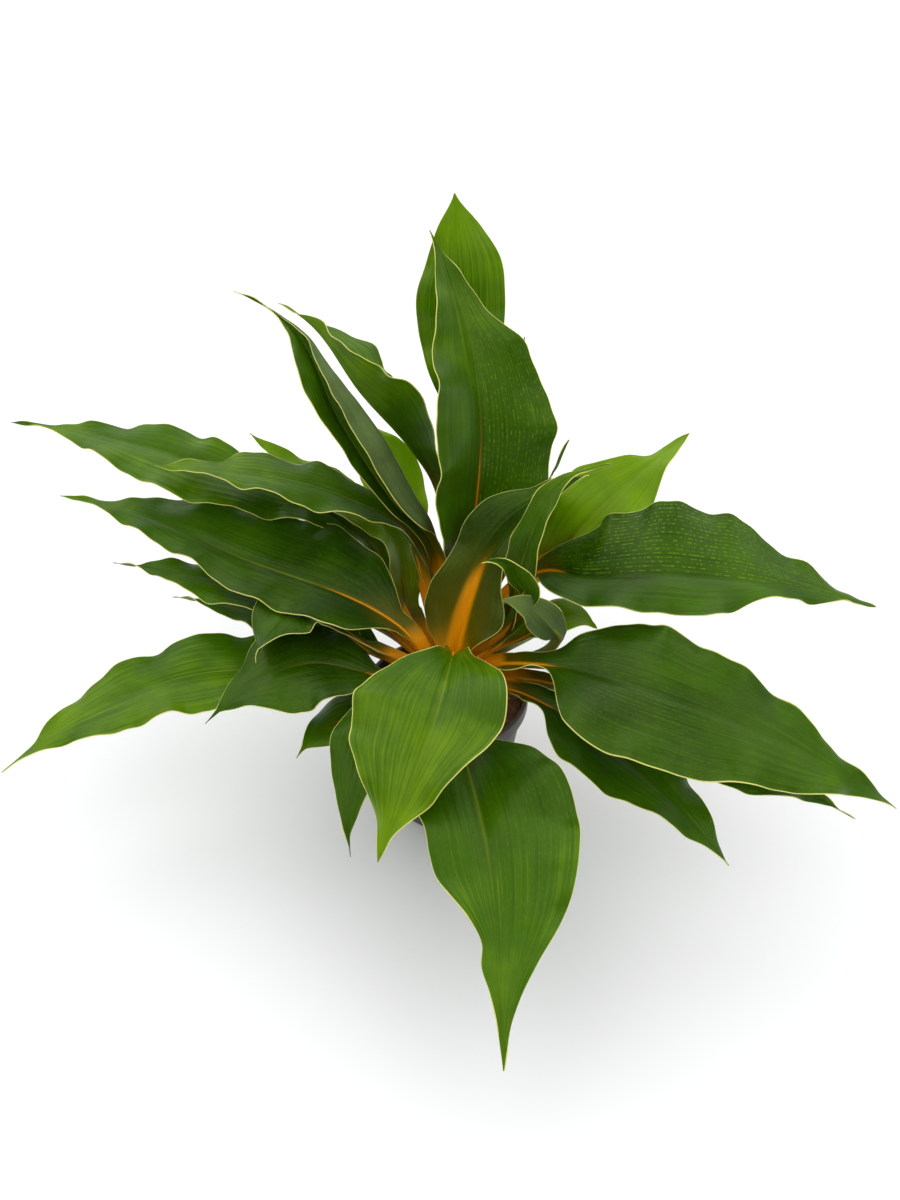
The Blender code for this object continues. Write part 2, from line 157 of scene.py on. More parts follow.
LEAVES = (
    Leaf("leaf_back_pale", (8, 96, 205), (7, 124, 278), (5, 145, 338), slot="pale_green", tone=0.6, rib=0,
         left=(9, 16, 21.5, 24.5, 24, 18, 10.5), right=(10, 18, 24, 28, 28.5, 26, 15)),
    Leaf("leaf_back_tall", (11, 42, 131), (19, 77, 245), (-9, 129, 322), roll=(20, 28, 10), fold=(32, 26),
         tone=0.38, fade=0.4, rib=130, halo=20, edge=1.6, dashes=(0.1, 0.5),
         left=(25, 37, 42, 40, 36, 24, 10), right=(20, 37, 46, 45, 36, 17, 5)),
    Leaf("leaf_back_tip", (26, 84, 138), (42, 118, 210), (48, 130, 260), 34),
    Leaf("leaf_back_right_thread", (36, 74, 126), (58, 94, 165), (78, 112, 200), 32, thread=0.25),
    Leaf("leaf_back_left_folded", (-5, 84, 182), (-51, 106, 235), (-103, 147, 275), roll=(40, 60, 70),
         fold=(50, 52), tone=0.5, ripe=0.9, edge=1.8, rib=0, ripple=2, green_back=True, knee=(-21, 92, 206),
         wrist=(-80, 132, 265), left=(26, 34, 35, 23, 14, 8, 1.5), right=(10, 16, 24, 32, 36, 25, 5)),
    Leaf("leaf_back_left_twisted", (-8, 58, 155), (-62, 80, 228), (-127, 138, 285), roll=(-40, -10, -10),
         fold=(45, 40), curl=(0, 195), tone=0.35, edge=1.6, ripple=1.5, rib=0,
         knee=(-32, 62, 185), wrist=(-90, 118, 268),
         left=(6, 9, 13, 18, 20, 10, 0.8), right=(36, 43, 41, 32, 18, 7, 0.8)),
    Leaf("leaf_back_left_pale", (-20, 84, 134), (-32, 110, 173), (-60, 134, 212), 48, slot="pale_green",
         widest=0.52, skew=0.75, tone=1, ripe=0.5),
    Leaf("leaf_left_far", (-37, 50, 120), (-157, 86, 199), (-272, 112, 212), roll=(0, -15, -10), tone=0.45,
         ripe=0.8, rib=0, halo=42, wing=9, upturn=0, knee=(-45, 70, 145),
         left=(13, 17, 24, 27, 28, 18, 5), right=(11, 11, 13, 19, 22, 13, 4)),
    Leaf("leaf_left_curled", (-23, 63, 162), (-90, 62, 199), (-171, 65, 207), tone=0.45, fade=0.5, ripe=0.3,
         rib=0, edge=1.4, wing=11, knee=(-56, 62, 186),
         left=(14, 22, 24, 23, 18, 12, 5), right=(12, 15, 18, 20, 19, 14, 6)),
    Leaf("leaf_left_small_pale", (-24, 48, 111), (-80, 88, 183), (-121, 101, 210), slot="pale_green",
         tone=0.75, ripe=0.6, rib=0, halo=35, wing=9, upturn=0, knee=(-34, 72, 154),
         left=(12, 13, 12, 17, 17, 12, 5), right=(11, 11, 11, 16, 16, 12, 5)),
    Leaf("leaf_left_broad", (-28, 13, 128), (-126, 41, 160), (-248, 97, 168), roll=(0, -15, -10),
         fold=(24, 8), tone=0.3, fade=0.7, ripe=0.6, rib=70, halo=24, edge=1.6, wing=9,
         wrist=(-195, 76, 169), left=(35, 31, 26, 17, 15, 11, 4), right=(36, 44, 43, 41, 33, 14, 4)),
    Leaf("leaf_left_low_back", (-38, 30, 112), (-135, 38, 143), (-210, 62, 140), 48, tone=0.4, ripe=0.6),
    Leaf("leaf_left_low_front", (-39, 18, 101), (-110, 31, 125), (-171, 46, 125), 46, tone=0.45),
    Leaf("leaf_left_hooked", (-42, 2, 119), (-84, 6, 145), (-105, -27, 134), 42, widest=0.65, taper=0.9,
         tone=0.25),
    Leaf("leaf_front_left_long", (-42, 5, 94), (-153, -14, 112), (-241, -69, 92), roll=(0, -10, -5),
         tone=0.5, rib=20, halo=10,
         left=(12, 22, 27, 29, 25, 23, 8), right=(13, 24, 28, 26, 23, 17, 6)),
    Leaf("leaf_front_left_dark", (-34, -10, 108), (-81, -17, 125), (-134, -44, 104), 62, (0, -15, -10),
         (18, 4), widest=0.48, slot="deep_green", tone=0.2, ripe=0.5, rib=20, halo=10),
    Leaf("leaf_front_left_short", (-23, -24, 92), (-61, -30, 93), (-84, -52, 85), 50, fold=(15, 0),
         tone=0.5, halo=10),
    Leaf("leaf_front_narrow", (-14, -14, 104), (-44, -66, 108), (-50, -106, 68), 40, tone=0.25, rib=20,
         halo=10),
    Leaf("leaf_front_heart", (5, -14, 131), (-7, -81, 137), (-33, -127, 92), roll=(0, 5, 25), tone=0.58,
         ripe=1, rib=18, band=2, halo=9, edge=2, wing=7,
         left=(14, 30, 36, 32.5, 22, 13.5, 4), right=(11, 31, 44, 44, 40.5, 27, 12)),
    Leaf("leaf_front_long", (8, -50, 98), (21, -128, 97), (26, -209, 55), tone=0.42, fade=0.45, rib=0,
         halo=8, left=(35, 47, 49.5, 43.5, 34.5, 17.5, 5.5),
         right=(20, 30, 33, 34, 33, 30, 29, 27, 21, 13.5, 7.5, 8.5, 5.5, 3, 1.5)),
    Leaf("leaf_right_low_broad", (35, -12, 120), (123, -68, 143), (236, -92, 90), roll=(0, 25, 15),
         fold=(20, 8), tone=0.25, fade=0.5, ripe=0.95, rib=45, band=1.8, halo=16, edge=2, wing=8, line=0,
         left=(14, 36, 37, 32, 25, 14, 6), right=(5, 38, 42, 38, 29, 20, 7)),
    Leaf("leaf_right_low_under", (56, -14, 108), (132, -68, 116), (219, -89, 78), 50, (0, 10, 10), ripe=0.5),
    Leaf("leaf_front_right", (45, -18, 102), (98, -66, 98), (150, -107, 62), tone=0.35, ripe=0.5, rib=30,
         halo=12, left=(14, 22, 26, 27, 24, 18, 8), right=(10, 26, 31, 28, 19, 13, 5)),
    Leaf("leaf_right_broad", (54, 38, 148), (128, -4, 177), (245, 3, 150), roll=(0, 20, 10), tone=0.28,
         fade=0.45, ripe=0.95, rib=30, band=1.8, halo=18, line=0, dashes=(0.6, 0.1), knee=(82, 15, 163),
         left=(31, 42, 48, 46, 39, 22, 7), right=(23, 28, 26, 26, 11, 8, 3.5)),
    Leaf("leaf_back_right_pale", (58, 54, 136), (96, 66, 180), (149, 97, 212), roll=(0, 20, 0),
         slot="pale_green", tone=0.8, ripe=1, rib=40, band=3, halo=28,
         left=(18, 27, 31, 31, 20, 10, 4), right=(12, 24, 30, 27, 20, 12, 7)),
    Leaf("leaf_centre_folded", (5, 3, 112), (29, 26, 179), (82, 52, 208), roll=(20, 25, 10),
         fold=(32, 28), slot="deep_green", tone=0.05, ripe=1, rib=85, band=8.5, halo=58, line=0,
         left=(23, 25, 21, 23, 21, 13, 5), right=(20, 34, 22, 15, 13, 9, 4)),
    Leaf("leaf_centre_waved", (35, 2, 135), (51, 12, 206), (89, 25, 229), roll=(0, 30, 20),
         fold=(22, 18), tone=0.35, fade=0.8, ripe=0.9, rib=0, halo=40, wing=8, edge=1.4,
         knee=(41, 8, 172), wrist=(63, 22, 220),
         left=(9, 9, 9, 11, 8, 5, 2), right=(11, 12, 12, 9, 6, 4, 2)),
    Leaf("leaf_centre_young", (45, -4, 160), (33, -9, 188), (19, -15, 193), roll=(110, 150, 175),
         fold=(35, 35), ripple=1, tone=0.4, ripe=0.5, rib=0, halo=5, knee=(38.5, -6, 175),
         left=(3, 3.5, 4.5, 5.5, 5, 4, 2), right=(12, 14, 12, 9, 4, 2.5, 1.5)),
    Leaf("leaf_centre_young_low", (64, -7, 135), (46, -10, 160), (30, -16, 169), roll=(-40, -45, -30),
         fold=(10, 5), ripple=1, tone=0.5, ripe=0.5, rib=0, halo=5, knee=(58, -8, 146), wing=4,
         left=(8, 10, 10.5, 9, 7, 5, 2.5), right=(8, 10, 10.5, 9, 7, 5, 2.5)),
    Leaf("leaf_right_small", (51, 12, 123), (72, 11, 138), (89, 8, 130), 36, slot="pale_green", tone=0.9,
         ripe=0.5, rib=10, halo=6, wing=9),
)
LEAF_BY_NAME = {leaf.name: leaf for leaf in LEAVES}


def linear(hex_text):
    """The RGBA that a shader takes for an sRGB hex colour."""
    channels = [int(hex_text[i : i + 2], 16) / 255 for i in (1, 3, 5)]
    return [c / 12.92 if c <= 0.04045 else ((c + 0.055) / 1.055) ** 2.4 for c in channels] + [1]


def add_node(tree, kind, inputs=None, **settings):
    """A shader node with its settings. Each input takes a value or another node's output."""
    node = tree.nodes.new(kind)
    for name, value in settings.items():
        setattr(node, name, value)
    for key, value in (inputs or {}).items():
        if isinstance(value, bpy.types.NodeSocket):
            tree.links.new(value, node.inputs[key])
        else:
            node.inputs[key].default_value = value
    return node


def new_material(name):
    """An empty material, its node tree, and its Principled shader."""
    material = bpy.data.materials.new(name)
    material.use_nodes = True
    tree = material.node_tree
    return material, tree, tree.nodes["Principled BSDF"]


def deselect_all():
    bpy.ops.object.select_all(action="DESELECT")


def apply_modifiers(piece):
    bpy.context.view_layer.objects.active = piece
    for modifier in list(piece.modifiers):
        bpy.ops.object.modifier_apply(modifier=modifier.name)


def finish_piece(piece, slot, *nodes):
    """Ties a finished piece to the body, and hides the nodes that it stands for. Its slot is not used."""
    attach(piece, BODY)
    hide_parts(*nodes)


def ease(share):
    share = min(max(share, 0), 1)
    return share * share * (3 - 2 * share)


def between(values, share):
    """A value that eases from the first through the middle to the last of three."""
    first, middle, last = values
    if share < 0.5:
        return first + (middle - first) * ease(share * 2)
    return middle + (last - middle) * ease(share * 2 - 1)


def smooth_curve(knots, first, steps):
    """Points along a curve through the knots, which leaves the first of them in a given direction."""
    directions = [first.normalized()]
    for before, here, after in zip(knots, knots[1:], knots[2:]):
        directions.append(((here - before).normalized() + (after - here).normalized()).normalized())
    last = (knots[-1] - knots[-2]).normalized()
    directions.append((2 * last - directions[-1]).normalized())
    points = [knots[0]]
    for i in range(len(knots) - 1):
        reach = (knots[i + 1] - knots[i]).length / 3
        handle_out = knots[i] + directions[i] * reach
        handle_in = knots[i + 1] - directions[i + 1] * reach
        points += geometry.interpolate_bezier(knots[i], handle_out, handle_in, knots[i + 1], steps)[1:]
    return points


def curve_length(points):
    return sum((b - a).length for a, b in zip(points, points[1:]))


def even_points(points, count):
    """The same curve as a given number of points, evenly spaced."""
    step = curve_length(points) / (count - 1)
    evened = [points[0]]
    walked = 0
    for a, b in zip(points, points[1:]):
        length = (b - a).length
        while len(evened) * step <= walked + length + 1e-9 and len(evened) < count:
            evened.append(a.lerp(b, (len(evened) * step - walked) / length))
        walked += length
    return evened


@dataclass
class Row:
    """One row of a leaf's grid: a point of the midrib, and the ways along, left of and up from it."""

    point: Vector
    along: Vector
    left: Vector
    up: Vector
    share: float  # -1 at the stalk's foot, 0 at the neck, 1 at the tip
    walked: float  # millimetres past the neck


def leaf_rows(leaf):
    """The rows of the whole leaf, from the crown to the tip."""
    outward = Vector((leaf.neck[0], leaf.neck[1], 0)).normalized()
    foot = outward * STALK_FOOT_RADIUS + Vector((0, 0, STALK_FOOT_HEIGHT))
    stops = (leaf.neck, leaf.knee, leaf.belly, leaf.wrist, leaf.tip)
    knots = [foot] + [Vector(stop) for stop in stops if stop]
    rise = (knots[1] - knots[0]).normalized() + Vector((0, 0, leaf.upturn))
    curve = smooth_curve(knots, rise, CURVE_STEPS)
    stalk_curve, blade_curve = curve[:CURVE_STEPS], curve[CURVE_STEPS - 1 :]
    stalk_length, length = curve_length(stalk_curve), curve_length(blade_curve)
    stalk = even_points(stalk_curve, 1 + round(stalk_length / STALK_STEP))
    blade = even_points(blade_curve, 1 + round(length / BLADE_STEP))
    points = stalk + blade[1:]
    neck = len(stalk) - 1
    heading = Vector((leaf.tip[0] - foot.x, leaf.tip[1] - foot.y, 0)).normalized()
    level_left = Vector((0, 0, 1)).cross(heading)
    rows = []
    for i, point in enumerate(points):
        share = (i - neck) / neck if i < neck else (i - neck) / (len(blade) - 1)
        walked = share * (stalk_length if i < neck else length)
        roll = leaf.roll[0] * (1 + share) if i < neck else between(leaf.roll, share)
        along = (points[min(i + 1, len(points) - 1)] - points[max(i - 1, 0)]).normalized()
        left = (level_left - along * level_left.dot(along)).normalized()
        left.rotate(Matrix.Rotation(math.radians(roll), 3, along))
        rows.append(Row(point, along, left, along.cross(left), share, walked))
    return rows


def half_width(leaf, share, side):
    """The blade's width on one side of its midrib: from its own edge, or lance-shaped and hollow at the tip."""
    if share <= 0:
        wing = (leaf.wing - STALK_HALF_WIDTH) * ease(1 + share * 1.3)
        return STALK_HALF_WIDTH * (1 - STALK_FOOT_FLARE * share) + wing
    edge = leaf.left if side > 0 else leaf.right
    if edge:
        return edge_width((leaf.wing, *edge, TIP_HALF_WIDTH), share)
    skew = 1 if side > 0 else leaf.skew
    return lance_width(leaf, share) * skew


def edge_width(widths, share):
    """A width on the smooth line through the given ones, which stand evenly spaced from neck to tip."""
    place = share * (len(widths) - 1)
    i = min(int(place), len(widths) - 2)
    x = place - i
    near, far = widths[i], widths[i + 1]
    before = widths[i - 1] if i else near
    after = widths[i + 2] if i + 2 < len(widths) else far
    rise, next_rise = (far - before) / 2, (after - near) / 2
    width = near + x * (rise + x * (3 * (far - near) - 2 * rise - next_rise))
    return max(width + x**3 * (2 * (near - far) + rise + next_rise), TIP_HALF_WIDTH)


def lance_width(leaf, share):
    """Half the width of a lance shape, rounded towards the neck and drawn out hollow towards the tip."""
    body = min(share / (1 - leaf.thread), 1)
    swell = math.sin(math.pi * body ** (math.log(0.5) / math.log(leaf.widest)))
    fullness = NECK_FULLNESS + (leaf.taper - NECK_FULLNESS) * body
    blade = leaf.width / 2 * max(swell, 0) ** fullness
    neck = leaf.wing * (1 - share) ** NECK_FADE
    thread = THREAD_HALF_WIDTH + (TIP_HALF_WIDTH - THREAD_HALF_WIDTH) * share**6
    return max(blade, neck, thread)


def flesh(leaf, share, out):
    """The leaf's thickness in mm, a distance out from its midrib."""
    blade = bpy.context.scene.plant_blades.thickness / MM
    if share <= 0:
        return blade + (STALK_THICKNESS - blade) * (1 - out / half_width(leaf, share, 1)) ** 0.7
    midrib = (STALK_THICKNESS - blade) * (1 - share) ** 3 * math.exp(-((out / MIDRIB_HALF_WIDTH) ** 2))
    return blade + midrib


def leaf_point(leaf, row, column, starts):
    """A point of the upper face in mm, and how far out it is from the midrib and in from the edge."""
    side = 1 if column > 0 else -1
    half = half_width(leaf, row.share, side)
    out = abs(column) * half
    fold = between((leaf.fold[0], leaf.fold[1], leaf.fold[1]), max(row.share, 0))
    raised = math.radians(fold + (STALK_FOLD - fold) * ease(-2.5 * row.share))
    body = math.sqrt(math.sin(math.pi * min(max(row.share, 0), 1)))
    turn = 2 * math.pi * row.walked / WAVE_LENGTH + math.radians(WAVE_TURN * side)
    wave = leaf.ripple * column**2 * math.sin(turn) * body
    ruffle = bpy.context.scene.plant_blades.ruffle / MM
    for (wave_length, part), start in zip(RUFFLES, starts[side]):
        turn = 2 * math.pi * row.walked / wave_length + start
        wave += ruffle * part * abs(column) ** 3 * math.sin(turn) * body
    crease = CREASE_DEPTH * body * (1 - row.share) * math.exp(-((out / CREASE_HALF_WIDTH) ** 2))
    sag = EDGE_SAG * half * column**2 if row.share > 0 else 0
    over = math.radians(leaf.curl[0 if side > 0 else 1]) * body
    steps = CURL_STEPS if over else 1
    angles = [raised + over * (column * (i + 0.5) / steps) ** 2 for i in range(steps)]
    flat = row.point + row.left * side * out * sum(math.cos(angle) for angle in angles) / steps
    cockle = COCKLE * body * abs(column) * noise.noise(flat / COCKLE_LENGTH)
    lift = out * sum(math.sin(angle) for angle in angles) / steps + wave + cockle - sag - crease
    return flat + row.up * lift, out, half - out


def leaf_sheet(leaf, rows, name):
    """A grid bent over the given rows of a leaf and thickened, which carries what its material reads."""
    chance = random.Random(leaf.name)
    starts = {side: [chance.uniform(0, 2 * math.pi) for _ in RUFFLES] for side in (-1, 1)}
    deselect_all()
    bpy.ops.mesh.primitive_grid_add(x_subdivisions=COLUMNS, y_subdivisions=len(rows) - 1, size=2)
    piece = bpy.context.object
    piece.name = piece.data.name = name
    mesh = piece.data
    for material in leaf_materials():
        mesh.materials.append(material)
    for mark in MARKS:
        mesh.attributes.new(mark, "FLOAT", "POINT")
    thick = piece.vertex_groups.new(name="flesh")
    marks, weights = [], []
    for vertex in mesh.vertices:
        row = rows[round((vertex.co.y + 1) / 2 * (len(rows) - 1))]
        column = math.copysign(abs(vertex.co.x) ** COLUMN_CROWDING, -vertex.co.x)
        point, out, inset = leaf_point(leaf, row, column, starts)
        vertex.co = point * MM
        edge = inset * (1 + TIP_MARGIN / (inset + out)) / leaf.edge
        rib_line = leaf.line * (1 - ease(row.share * 1.4)) if out < 0.3 else 0
        dashes = leaf.dashes[0 if column > 0 else 1]
        orange = orange_share(leaf, row, out)
        # Darker towards the neck and paler towards the tip: painted shade and painted sheen over the leaf's tone
        tone = leaf.tone + leaf.fade * (max(row.share, 0) - PAINTED_SHEEN_MIDDLE)
        marks.append((column, edge, row.walked, orange, rib_line, dashes, tone))
        weights.append(flesh(leaf, row.share, out) / STALK_THICKNESS)
    for mark, values in zip(MARKS, zip(*marks)):
        mesh.attributes[mark].data.foreach_set("value", values)
    for i, weight in enumerate(weights):
        thick.add([i], weight, "REPLACE")
    wall = piece.modifiers.new("thickness", "SOLIDIFY")
    wall.thickness = STALK_THICKNESS * MM
    wall.offset = -1
    wall.vertex_group = thick.name
    wall.material_offset = 0 if leaf.green_back else 1
    apply_modifiers(piece)
    piece.vertex_groups.clear()
    bpy.ops.object.shade_smooth_by_angle(angle=math.radians(50))
    return piece


def orange_share(leaf, row, out):
    """How orange the leaf is, from 1 through olive at about 0.4 to none.

    All of the stalk's foot is orange. Its upper end and wings turn olive, and so is the blade's base. Its
    midrib stays orange for longer.
    """
    spread = (out / (0.6 * leaf.halo)) ** 2
    grown = 1 + min(row.share, 0)
    ripe = 1 - UNRIPE * ease((grown - leaf.ripe) / (1.01 - leaf.ripe))
    if row.share <= 0:
        base = ripe * math.exp(-spread * ease(1 + row.share * 1.4))
    else:
        olive = min(ripe, OLIVE) + max(ripe - OLIVE, 0) * math.exp(-row.walked / ORANGE_REACH)
        base = olive * math.exp(-((row.walked / leaf.halo) ** 2) - spread)
    left = min(1 - row.walked / (leaf.rib + 1), 1) if leaf.rib else 0
    if left <= 0:
        return base
    band = leaf.band * left**0.7
    soft = 1.2 + leaf.band
    return max(base, ease((band + soft / 2 - out) / soft) * ease(left * 2))


def turned_solid(name, profile, sides):
    """A circle drawn out ring by ring along a (radius, height) profile in mm, closed at both ends."""
    radius, height = profile[0]
    deselect_all()
    bpy.ops.mesh.primitive_circle_add(vertices=sides, radius=radius * MM, fill_type="NGON")
    piece = bpy.context.object
    piece.name = piece.data.name = name
    bpy.ops.object.mode_set(mode="EDIT")
    bpy.ops.mesh.select_all(action="SELECT")
    bpy.ops.transform.translate(value=(0, 0, height * MM))
    for (inner, low), (outer, high) in zip(profile, profile[1:]):
        bpy.ops.mesh.extrude_region_move(TRANSFORM_OT_translate={"value": (0, 0, (high - low) * MM)})
        bpy.ops.transform.resize(value=(outer / inner, outer / inner, 1), center_override=(0, 0, 0))
    bpy.ops.mesh.select_all(action="SELECT")
    bpy.ops.mesh.normals_make_consistent(inside=False)
    bpy.ops.object.mode_set(mode="OBJECT")
    return piece


def leaf_material(name, deep, fresh, pale, roughness):
    """A living leaf: waxy, with fine lengthwise veins, a thin pale margin and an orange base.

    Light passes a little way into it, which brightens the thin places.
    """
    blades = bpy.context.scene.plant_blades
    material, tree, shader = new_material(name)

    def node(kind, inputs=None, out=0, **settings):
        return add_node(tree, kind, inputs, **settings).outputs[out]

    def maths(operation, *values, **settings):
        return node("ShaderNodeMath", dict(enumerate(values)), operation=operation, **settings)

    def blend(share, colour, other):
        values = {"Factor": share, "A": colour, "B": other}
        return node("ShaderNodeMix", values, "Result", data_type="RGBA")

    place = node("ShaderNodeTexCoord", out="Object")
    marks = {mark: node("ShaderNodeAttribute", out="Fac", attribute_name=mark) for mark in MARKS}

    # Soft blotches, some 30 mm across, and fine lengthwise streaks over the leaf's tone, which holds painted light
    # and shade as well as its own green
    blotch = node("ShaderNodeTexNoise", {"Vector": place, "Scale": 34, "Detail": 3})
    fine = node("ShaderNodeCombineXYZ", {"X": maths("MULTIPLY", marks["across"], 30),
                                         "Y": maths("MULTIPLY", marks["along_mm"], 0.015)})
    grain = node("ShaderNodeTexNoise", {"Vector": fine, "Scale": 1, "Detail": 3})
    shade = maths("ADD", maths("MULTIPLY_ADD", blotch, 0.7, -0.35), maths("MULTIPLY_ADD", grain, 0.6, -0.3))
    ramp = add_node(tree, "ShaderNodeValToRGB", {"Fac": maths("ADD", shade, marks["tone"], use_clamp=True)})
    ramp.color_ramp.elements[0].color = deep
    ramp.color_ramp.elements[1].color = pale
    ramp.color_ramp.elements.new(0.5).color = fresh
    green = ramp.outputs["Color"]

    # Veins 2 mm apart that run the length of the blade, each a row of fine pale dashes
    lane = maths("MULTIPLY", marks["across"], blades.veins / 2)
    vein = node("ShaderNodeMapRange", {"Value": maths("COSINE", maths("MULTIPLY", lane, math.tau)),
                                       "From Min": 0.4}, interpolation_type="SMOOTHSTEP")
    own = maths("MULTIPLY", maths("ROUND", lane), 7.3)
    beat = node("ShaderNodeCombineXYZ", {"X": own, "Y": maths("MULTIPLY", marks["along_mm"], 0.45)})
    dash = node("ShaderNodeMapRange", {"Value": node("ShaderNodeTexNoise", {"Vector": beat, "Scale": 1.0}),
                                       "From Min": 0.45, "From Max": 0.65}, interpolation_type="SMOOTHSTEP")
    plain = maths("MULTIPLY", marks["dashes"], blades.vein_contrast)
    green = blend(maths("MULTIPLY", maths("MULTIPLY", vein, dash), plain), green, pale)
    green = blend(marks["rib_line"], green, linear("#93A32A"))

    # Orange stalk and midrib, streaked lengthwise
    run = node("ShaderNodeCombineXYZ", {"X": maths("MULTIPLY", marks["across"], 9),
                                        "Y": maths("MULTIPLY", marks["along_mm"], 0.05)})
    streaks = node("ShaderNodeTexNoise", {"Vector": run, "Scale": 1, "Detail": 2})
    orange = blend(streaks, list(blades.amber), list(blades.orange))
    olive = node("ShaderNodeMapRange", {"Value": marks["orange"], "From Min": 0.05, "From Max": 0.45})
    ripe = node("ShaderNodeMapRange", {"Value": marks["orange"], "From Min": 0.4, "From Max": 0.9})
    based = blend(ripe, blend(olive, green, list(blades.olive)), orange)

    # Pale margin of uneven width, which the orange base doesn't have
    line = maths("MULTIPLY_ADD", streaks, 0.8 * blades.margin / MM, 0.6 * blades.margin / MM)
    margin = node("ShaderNodeMapRange", {"Value": marks["edge_mm"], "From Min": line,
                                         "From Max": maths("MULTIPLY", line, 0.4)},
                  interpolation_type="SMOOTHSTEP")
    margin = maths("MULTIPLY", margin, maths("SUBTRACT", 1.0, marks["orange"], use_clamp=True))
    on_blade = node("ShaderNodeMapRange", {"Value": marks["along_mm"], "From Min": -12, "From Max": 8})
    margin = maths("MULTIPLY", margin, on_blade)
    colour = blend(margin, based, list(blades.margin_colour))

    # The wax is uneven, the veins stand out a tenth of a millimetre, and the blade is pleated along them
    wax = node("ShaderNodeTexNoise", {"Vector": place, "Scale": 90, "Detail": 4})
    gloss = node("ShaderNodeMapRange", {"Value": wax, "To Min": roughness - 0.1, "To Max": roughness + 0.1})
    pleat = maths("MULTIPLY", maths("COSINE", maths("MULTIPLY", lane, math.tau / 3)), blotch)
    height = maths("MULTIPLY_ADD", wax, 0.8, maths("MULTIPLY_ADD", grain, 1.5, pleat))
    bump = node("ShaderNodeBump", {"Height": height, "Distance": 0.00014, "Strength": 0.6})
    shader.inputs["Subsurface Weight"].default_value = blades.glow
    shader.inputs["Subsurface Radius"].default_value = (0.6, 1.0, 0.05)
    shader.inputs["Subsurface Scale"].default_value = 0.002
    shader.inputs["IOR"].default_value = 1.45
    shader.inputs["Specular IOR Level"].default_value = blades.wax
    shader.inputs["Specular Tint"].default_value = linear("#EAFFAD")
    tree.links.new(colour, shader.inputs["Base Color"])
    tree.links.new(gloss, shader.inputs["Roughness"])
    tree.links.new(bump, shader.inputs["Normal"])
    return material


def leaf_materials():
    """The upper face's and the underside's, made once."""
    found = [bpy.data.materials.get(name) for name in ("leaf_upper_face", "leaf_underside")]
    if all(found):
        return found
    blades = bpy.context.scene.plant_blades
    upper = leaf_material("leaf_upper_face", list(blades.deep_green), list(blades.fresh_green),
                          list(blades.pale_green), blades.roughness)
    under = leaf_material("leaf_underside", linear("#3C4A22"), linear("#536838"), linear("#82984E"), 0.5)
    return upper, under


def plastic_material(pot):
    """Moulded polypropylene: dull grey, with a fine even grain and a little dried soil in scattered patches."""
    material, tree, shader = new_material("moulded_polypropylene")
    place = add_node(tree, "ShaderNodeTexCoord").outputs["Object"]
    dust = add_node(tree, "ShaderNodeTexNoise", {"Vector": place, "Scale": 60, "Detail": 6}).outputs["Fac"]
    dusty = add_node(tree, "ShaderNodeMapRange", {"Value": dust, "From Min": 0.55, "From Max": 0.8,
                                                  "To Max": 0.35}).outputs[0]
    colour = add_node(tree, "ShaderNodeMix", {"Factor": dusty, "A": list(pot.plastic), "B": linear("#6E625A")},
                      data_type="RGBA").outputs["Result"]
    grain = add_node(tree, "ShaderNodeTexNoise", {"Vector": place, "Scale": 2500, "Detail": 1}).outputs["Fac"]
    bump = add_node(tree, "ShaderNodeBump", {"Height": grain, "Distance": 0.00005, "Strength": 0.3}).outputs[0]
    rough = add_node(tree, "ShaderNodeMapRange", {"Value": dust, "To Min": pot.roughness - 0.1,
                                                  "To Max": pot.roughness + 0.2}).outputs[0]
    tree.links.new(colour, shader.inputs["Base Color"])
    tree.links.new(rough, shader.inputs["Roughness"])
    tree.links.new(bump, shader.inputs["Normal"])
    return material


def soil_material(soil):
    """Peat potting mix: matt, darker to near black in the low places of its clods, with paler fibres and bark."""
    material, tree, shader = new_material("peat_potting_mix")
    place = add_node(tree, "ShaderNodeTexCoord").outputs["Object"]
    bits = add_node(tree, "ShaderNodeAttribute", attribute_name="crumb").outputs["Fac"]
    clod = add_node(tree, "ShaderNodeTexNoise", {"Vector": place, "Scale": 420, "Detail": 5}).outputs["Fac"]
    # The peat is darkest where the clods' bump is lowest
    peat = add_node(tree, "ShaderNodeMix", {"Factor": clod, "A": linear("#2A1C12"), "B": list(soil.peat)},
                    data_type="RGBA").outputs["Result"]
    colour = add_node(tree, "ShaderNodeMix", {"Factor": bits, "A": peat, "B": list(soil.bark)},
                      data_type="RGBA").outputs["Result"]
    bump = add_node(tree, "ShaderNodeBump", {"Height": clod, "Distance": 0.0006, "Strength": 0.8}).outputs[0]
    shader.inputs["Roughness"].default_value = 0.95
    tree.links.new(colour, shader.inputs["Base Color"])
    tree.links.new(bump, shader.inputs["Normal"])
    return material


